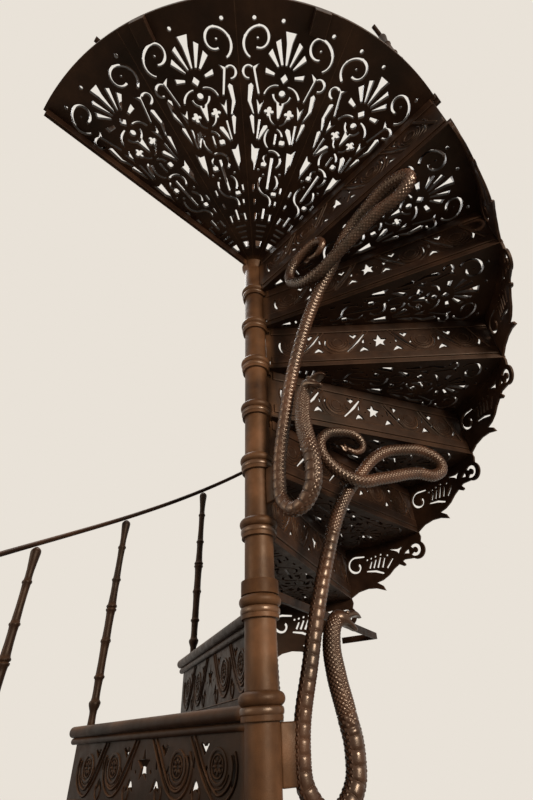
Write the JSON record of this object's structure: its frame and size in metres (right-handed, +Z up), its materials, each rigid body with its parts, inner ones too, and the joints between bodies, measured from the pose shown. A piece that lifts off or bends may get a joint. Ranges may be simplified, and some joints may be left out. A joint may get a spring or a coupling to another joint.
{
  "type": "spiral staircase",
  "caption": "Cast-iron spiral stair round a slim newel, rising clockwise to a quarter-round landing, with pierced anthemion treads, ornamental risers, rim brackets and coiled serpent brackets.",
  "frame": {"origin": "centre of the underside of the newel's base flange, on the floor", "axes": "+Z up along the newel; the landing's front edge lies 44 degrees clockwise of +X seen from above, and the landing reaches from there round to 134 degrees; the stair climbs clockwise seen from above"},
  "size_m": [1.84, 1.84, 4.0253],
  "materials": {
    "cast_iron": "old dark bronze-brown oil paint on cast iron, rubbed on the high edges",
    "wrought_iron": "the same paint on wrought iron bar, worn smooth by hands"
  },
  "bodies": {
    "root": {"base_flange": "cast_iron", "core_post": "wrought_iron", "tread_01": "cast_iron", "tread_02": "cast_iron", "tread_03": "cast_iron", "tread_04": "cast_iron", "tread_05": "cast_iron", "tread_06": "cast_iron", "tread_07": "cast_iron", "tread_08": "cast_iron", "tread_09": "cast_iron", "tread_10": "cast_iron", "tread_11": "cast_iron", "tread_12": "cast_iron", "tread_13": "cast_iron", "tread_14": "cast_iron", "tread_15": "cast_iron", "risers_lower": "cast_iron", "risers_upper": "cast_iron", "outer_brackets_lower": "cast_iron", "outer_brackets_upper": "cast_iron", "serpent_1": "cast_iron", "serpent_2": "cast_iron", "serpent_3": "cast_iron", "serpent_4": "cast_iron", "stay_bar": "wrought_iron", "landing_hub": "cast_iron", "landing_plate_1": "cast_iron", "landing_plate_2": "cast_iron", "landing_plate_3": "cast_iron", "landing_plate_4": "cast_iron", "landing_edge_bar": "wrought_iron", "landing_bearers": "cast_iron", "newel_top": "cast_iron", "balusters_lower": "cast_iron", "balusters_upper": "cast_iron", "guard_balusters": "cast_iron", "handrail": "wrought_iron", "guard_rail": "wrought_iron"}
  },
  "joints": []
}
